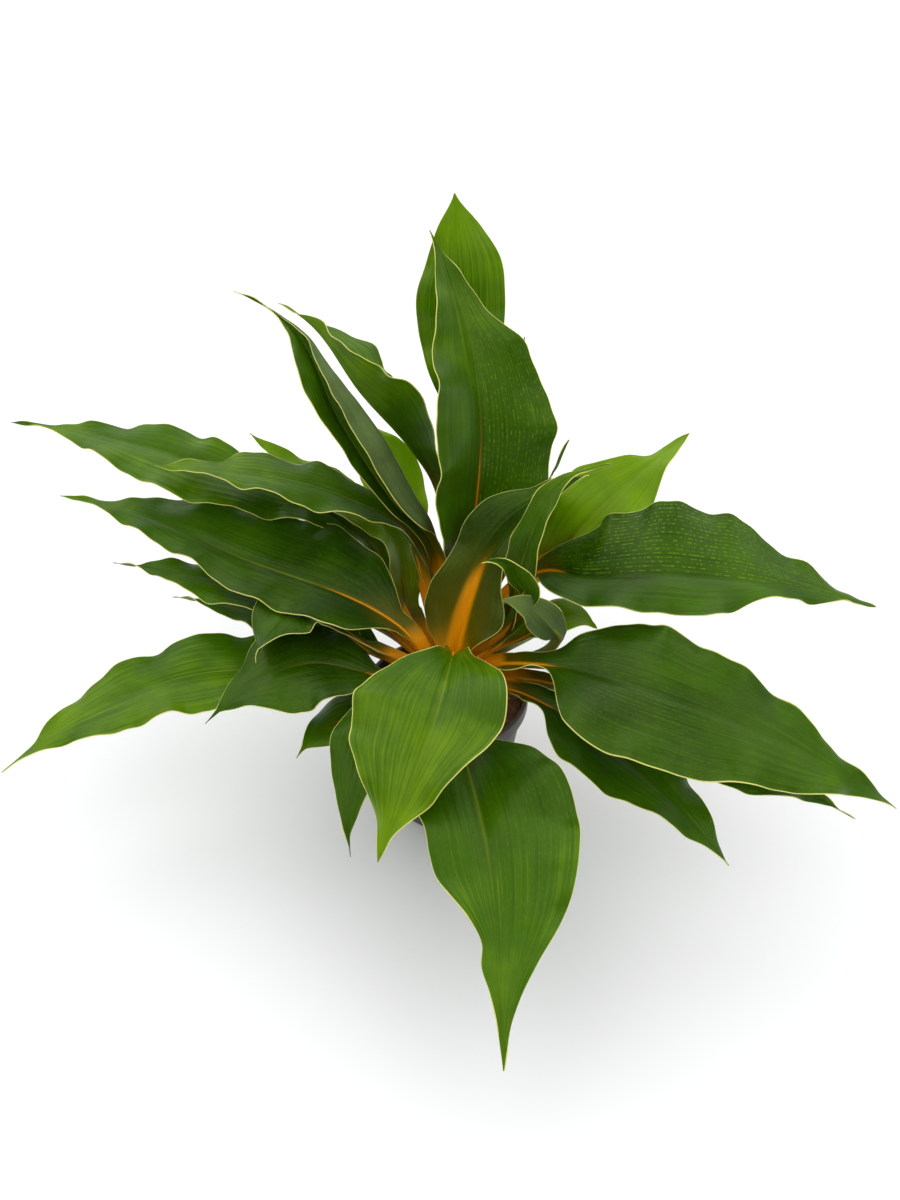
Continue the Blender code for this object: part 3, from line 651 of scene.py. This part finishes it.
class BladeSettings(bpy.types.PropertyGroup):
    thickness: FloatProperty(name="Thickness", description="Thickness of a blade away from its midrib",
                             default=0.5 * MM, min=0.2 * MM, unit="LENGTH", precision=4)
    ruffle: FloatProperty(name="Ruffle", description="Height of the small waves in a blade's edge",
                          default=0.9 * MM, min=0, unit="LENGTH", precision=4)
    margin: FloatProperty(name="Margin", description="Width of the pale line along a blade's edge",
                          default=0.4 * MM, min=0, unit="LENGTH", precision=4)
    veins: IntProperty(name="Veins", description="Lengthwise veins across a blade", default=36, min=2)
    vein_contrast: FloatProperty(name="Vein contrast", description="How pale the dashes in the veins are",
                                 default=1, min=0, max=1, subtype="FACTOR")
    roughness: FloatProperty(name="Roughness", description="Roughness of the waxy upper face",
                             default=0.32, min=0, max=1, subtype="FACTOR")
    wax: FloatProperty(name="Wax", description="How much the wax reflects", default=0.3, min=0, max=1,
                       subtype="FACTOR")
    glow: FloatProperty(name="Glow", description="How much light passes into a blade",
                        default=0.3, min=0, max=1, subtype="FACTOR")
    deep_green: FloatVectorProperty(name="Deep green", description="The darkest green of a blade",
                                    default=linear("#1A3300"), size=4, min=0, max=1, subtype="COLOR")
    fresh_green: FloatVectorProperty(name="Fresh green", description="The usual green of a blade",
                                     default=linear("#395C00"), size=4, min=0, max=1, subtype="COLOR")
    pale_green: FloatVectorProperty(name="Pale green", description="The palest green of a blade",
                                    default=linear("#779800"), size=4, min=0, max=1, subtype="COLOR")
    margin_colour: FloatVectorProperty(name="Margin colour", description="The line along a blade's edge",
                                       default=linear("#D2D070"), size=4, min=0, max=1, subtype="COLOR")
    olive: FloatVectorProperty(name="Olive", description="Where a stalk's orange fades into its blade",
                               default=linear("#5C4F00"), size=4, min=0, max=1, subtype="COLOR")
    orange: FloatVectorProperty(name="Orange", description="The brighter streaks of a stalk",
                                default=linear("#F2A50A"), size=4, min=0, max=1, subtype="COLOR")
    amber: FloatVectorProperty(name="Amber", description="The darker streaks of a stalk",
                               default=linear("#BE7400"), size=4, min=0, max=1, subtype="COLOR")


class PotSettings(bpy.types.PropertyGroup):
    plastic: FloatVectorProperty(name="Plastic", description="Colour of the pot's plastic",
                                 default=linear("#45423F"), size=4, min=0, max=1, subtype="COLOR")
    roughness: FloatProperty(name="Roughness", description="Roughness of the pot's plastic",
                             default=0.45, min=0, max=1, subtype="FACTOR")
    wall: FloatProperty(name="Wall", description="Thickness of the pot's wall", default=1.4 * MM, min=0.5 * MM,
                        unit="LENGTH", precision=4)


class SoilSettings(bpy.types.PropertyGroup):
    peat: FloatVectorProperty(name="Peat", description="Colour of the dry peat",
                              default=linear("#74543A"), size=4, min=0, max=1, subtype="COLOR")
    bark: FloatVectorProperty(name="Bark", description="Colour of the bark and fibre in the soil",
                              default=linear("#A88760"), size=4, min=0, max=1, subtype="COLOR")
    crumbs: IntProperty(name="Crumbs", description="Loose crumbs on the soil", default=420, min=0)


class StageSettings(bpy.types.PropertyGroup):
    floor: FloatVectorProperty(name="Floor", description="Colour of the floor",
                               default=linear("#F4F4F2"), size=4, min=0, max=1, subtype="COLOR")
    key: FloatProperty(name="Key light", description="Strength of the light from behind the plant",
                       default=0.25, min=0)
    horizon: FloatProperty(name="Horizon", description="Strength of the light from low all around", default=0.3,
                           min=0)
    ring: FloatProperty(name="Ring", description="Strength of the ring of soft light overhead", default=1.65,
                        min=0)
    zenith: FloatProperty(name="Zenith", description="Strength of the light straight above", default=0.5, min=0)


class PLANT_OT_stage(bpy.types.Operator):
    """Lay the pale floor and set the studio lights and the camera"""

    bl_idname = "plant.stage"
    bl_label = "Stage"

    def execute(self, context):
        stage = context.scene.plant_stage
        deselect_all()
        bpy.ops.mesh.primitive_plane_add(size=60)
        floor = context.object
        floor.name = "floor"
        material, _, shader = new_material("painted_board")
        shader.inputs["Base Color"].default_value = stage.floor
        shader.inputs["Roughness"].default_value = 0.9
        floor.data.materials.append(material)
        slant = Vector((0.35, -0.45, -0.82)).to_track_quat("-Z", "Y").to_euler()
        bpy.ops.object.light_add(type="SUN", rotation=slant)
        key = context.object
        key.name = "key_light"
        key.data.energy = stage.key
        key.data.angle = math.radians(60)
        world = bpy.data.worlds.new("studio")
        context.scene.world = world
        world.use_nodes = True
        tree = world.node_tree
        ray = add_node(tree, "ShaderNodeTexCoord").outputs["Generated"]
        height = add_node(tree, "ShaderNodeSeparateXYZ", {0: ray}).outputs["Z"]
        rising = add_node(tree, "ShaderNodeMapRange", {"Value": height, "From Min": 0.35, "From Max": 0.6,
                                                       "To Min": stage.horizon, "To Max": stage.ring})
        light = add_node(tree, "ShaderNodeMapRange", {"Value": height, "From Min": 0.93, "From Max": 1.0,
                                                      "To Min": rising.outputs[0], "To Max": stage.zenith})
        tree.links.new(light.outputs[0], tree.nodes["Background"].inputs["Strength"])
        tree.nodes["Background"].inputs["Color"].default_value = linear("#FBFCFF")
        context.scene.view_settings.view_transform = "Standard"
        bpy.ops.object.camera_add(location=CAMERA_PLACE, rotation=(math.radians(90 - CAMERA_PITCH), 0, 0))
        camera = context.object
        camera.data.lens = CAMERA_LENS
        camera.data.sensor_width = CAMERA_SENSOR
        context.scene.camera = camera
        return {"FINISHED"}


class PLANT_OT_pot(bpy.types.Operator):
    """Mould the nursery pot, with its rim band and drain holes"""

    bl_idname = "plant.pot"
    bl_label = "Pot"

    def execute(self, context):
        pot = context.scene.plant_pot
        height, rim = POT_HIGH.z / MM, POT_HIGH.x / MM
        wall = pot.wall / MM
        foot, band, step = 36, 9, 1.4
        slope = (rim - step - foot) / height

        def outer(at):
            return foot + slope * at

        shoulder = height - band
        profile = (
            (foot - 4, 0.0), (foot - 2, 0.05), (foot - 0.8, 0.5), (foot - 0.1, 1.4), (outer(2.6), 2.6),
            (outer(height * 0.35), height * 0.35), (outer(shoulder - 3), shoulder - 3),
            (outer(shoulder), shoulder - 0.6), (outer(shoulder) + 0.5, shoulder - 0.1),
            (rim - 0.7, shoulder), (rim - 0.25, shoulder + 0.4), (rim - 0.1, shoulder + 1.2),
            (rim, height - 1.2), (rim - 0.1, height - 0.5), (rim - 0.45, height - 0.1), (rim - 0.9, height),
            (outer(height) - wall + 0.6, height), (outer(height) - wall + 0.1, height - 0.3),
            (outer(height) - wall, height - 1), (outer(height * 0.4) - wall, height * 0.4),
            (outer(wall + 1) - wall, wall + 1), (foot - wall - 1.2, wall + 0.1), (foot - wall - 3, wall),
        )
        piece = turned_solid("nursery_pot", profile, 128)
        for i in range(6):
            angle = math.tau * i / 6
            place = (25 * MM * math.cos(angle), 25 * MM * math.sin(angle), 0)
            deselect_all()
            bpy.ops.mesh.primitive_cylinder_add(vertices=32, radius=3 * MM, depth=8 * MM, location=place)
            drill = context.object
            cut = piece.modifiers.new("drain_hole", "BOOLEAN")
            cut.operation = "DIFFERENCE"
            cut.object = drill
            apply_modifiers(piece)
            bpy.data.objects.remove(drill)
        piece.data.materials.append(plastic_material(pot))
        piece.select_set(True)
        bpy.ops.object.shade_smooth_by_angle(angle=math.radians(35))
        finish_piece(piece, "pot_plastic", "pot")
        return {"FINISHED"}


class PLANT_OT_soil(bpy.types.Operator):
    """Fill the pot with lumpy potting soil and loose crumbs"""

    bl_idname = "plant.soil"
    bl_label = "Soil"

    def execute(self, context):
        soil = context.scene.plant_soil
        edge, level, floor = SOIL_HIGH.x / MM, 82, SOIL_LOW.z / MM
        rings = 34
        profile = [(34, floor), (edge - 0.6, level - 4)]
        profile += [(edge - (edge - 1) * i / rings, level) for i in range(rings + 1)]
        piece = turned_solid("soil", profile, 120)
        for vertex in piece.data.vertices:
            if vertex.co.z / MM > level - 1:
                vertex.co.z = soil_top(vertex.co.x / MM, vertex.co.y / MM) * MM
        marks = piece.data.attributes.new("crumb", "FLOAT", "POINT")
        marks.data.foreach_set("value", [0] * len(piece.data.vertices))
        piece.data.materials.append(soil_material(soil))
        crumbs = [self.crumb(chance_of, piece) for chance_of in range(soil.crumbs)]
        deselect_all()
        for crumb in crumbs:
            crumb.select_set(True)
        piece.select_set(True)
        context.view_layer.objects.active = piece
        bpy.ops.object.join()
        bpy.ops.object.shade_smooth_by_angle(angle=math.radians(30))
        finish_piece(piece, "potting_soil", "potting_soil")
        return {"FINISHED"}

    def crumb(self, number, soil):
        """One crumb of peat or bark, lying half sunk in the soil."""
        chance = random.Random(number)
        reach = (SOIL_HIGH.x / MM - 2.5) * math.sqrt(chance.uniform(0.02, 1))
        angle = chance.uniform(0, math.tau)
        x, y = reach * math.cos(angle), reach * math.sin(angle)
        size = chance.choice((0.6, 0.8, 1.0, 1.3, 1.8)) * MM
        deselect_all()
        bpy.ops.mesh.primitive_ico_sphere_add(subdivisions=1, radius=size)
        crumb = bpy.context.object
        flat = Matrix.Diagonal((chance.uniform(0.8, 2.2), 1, chance.uniform(0.35, 0.8), 1))
        turn = Euler((chance.uniform(-0.5, 0.5), chance.uniform(-0.5, 0.5), angle * 3)).to_matrix().to_4x4()
        place = Matrix.Translation(Vector((x, y, soil_top(x, y))) * MM)
        crumb.data.transform(place @ turn @ flat)
        marks = crumb.data.attributes.new("crumb", "FLOAT", "POINT")
        pale = chance.choice((0, 0.1, 0.2, 0.5, 1.0))
        marks.data.foreach_set("value", [pale] * len(crumb.data.vertices))
        crumb.data.materials.append(soil.data.materials[0])
        return crumb


def soil_top(x, y):
    """The soil's height in mm: a low mound with clods of two sizes."""
    reach = math.hypot(x, y) / (SOIL_HIGH.x / MM)
    clods = noise.noise(Vector((x, y, 0)) * 0.13) * 1.6 + noise.noise(Vector((x, y, 9)) * 0.42) * 0.9
    return 82.5 + 3.5 * (1 - reach**2) + clods * (1 - 0.5 * reach)


class PLANT_OT_crown(bpy.types.Operator):
    """Grow the crown in the soil with all its orange stalks"""

    bl_idname = "plant.crown"
    bl_label = "Crown and Stalks"

    def execute(self, context):
        piece = turned_solid("crown_with_stalks", CROWN_PROFILE, 48)
        mesh = piece.data
        for material in leaf_materials():
            mesh.materials.append(material)
        for vertex in mesh.vertices:
            angle = math.atan2(vertex.co.y, vertex.co.x)
            swell = 1 + 0.06 * math.sin(7 * angle) + 0.1 * noise.noise(vertex.co * 120)
            vertex.co.x *= swell
            vertex.co.y *= swell
        for mark, value in zip(MARKS, (0.5, 5, -90, 1, 0, 0, 0.3)):
            marks = mesh.attributes.new(mark, "FLOAT", "POINT")
            marks.data.foreach_set("value", [value] * len(mesh.vertices))
        stalks = []
        for leaf in LEAVES:
            stalk = [row for row in leaf_rows(leaf) if row.share <= 0]
            stalks.append(leaf_sheet(leaf, stalk, "stalk"))
        deselect_all()
        for stalk in stalks:
            stalk.select_set(True)
        piece.select_set(True)
        context.view_layer.objects.active = piece
        bpy.ops.object.join()
        bpy.ops.object.shade_smooth_by_angle(angle=math.radians(50))
        finish_piece(piece, "orange_stalk", "crown_and_stalks")
        return {"FINISHED"}


class PLANT_OT_blade(bpy.types.Operator):
    """Grow one blade from its neck to its tip"""

    bl_idname = "plant.blade"
    bl_label = "Blade"

    leaf: EnumProperty(name="Leaf", description="Which leaf the blade belongs to",
                       items=[(leaf.name, leaf.name.replace("_", " ").capitalize(), "") for leaf in LEAVES])

    def execute(self, context):
        leaf = LEAF_BY_NAME[self.leaf]
        blade = [row for row in leaf_rows(leaf) if row.share >= 0]
        piece = leaf_sheet(leaf, blade, leaf.name.replace("leaf_", "blade_"))
        finish_piece(piece, leaf.slot, leaf.name)
        return {"FINISHED"}


class PLANT_PT_parts(bpy.types.Panel):
    """The plant's parts and their settings"""

    bl_idname = "PLANT_PT_parts"
    bl_label = "Potted Chlorophytum"
    bl_space_type = "VIEW_3D"
    bl_region_type = "UI"
    bl_category = "Plant"

    def draw(self, context):
        for operator, settings in PARTS:
            box = self.layout.box()
            box.operator(operator.bl_idname)
            group = getattr(context.scene, settings)
            for name in group.bl_rna.properties.keys():
                if name not in ("rna_type", "name"):
                    box.prop(group, name)


PARTS = (
    (PLANT_OT_stage, "plant_stage"),
    (PLANT_OT_pot, "plant_pot"),
    (PLANT_OT_soil, "plant_soil"),
    (PLANT_OT_crown, "plant_blades"),
    (PLANT_OT_blade, "plant_blades"),
)
GROUPS = {
    "plant_blades": BladeSettings,
    "plant_pot": PotSettings,
    "plant_soil": SoilSettings,
    "plant_stage": StageSettings,
}
CLASSES = (*GROUPS.values(), *(operator for operator, _ in PARTS), PLANT_PT_parts)


def register():
    for cls in CLASSES:
        bpy.utils.register_class(cls)
    for name, group in GROUPS.items():
        setattr(bpy.types.Scene, name, PointerProperty(type=group))


def unregister():
    for name in GROUPS:
        delattr(bpy.types.Scene, name)
    for cls in reversed(CLASSES):
        bpy.utils.unregister_class(cls)


def main():
    register()
    bpy.ops.plant.stage()
    bpy.ops.plant.pot()
    bpy.ops.plant.soil()
    bpy.ops.plant.crown()
    for leaf in LEAVES:
        bpy.ops.plant.blade(leaf=leaf.name)


if __name__ == "__main__":
    main()
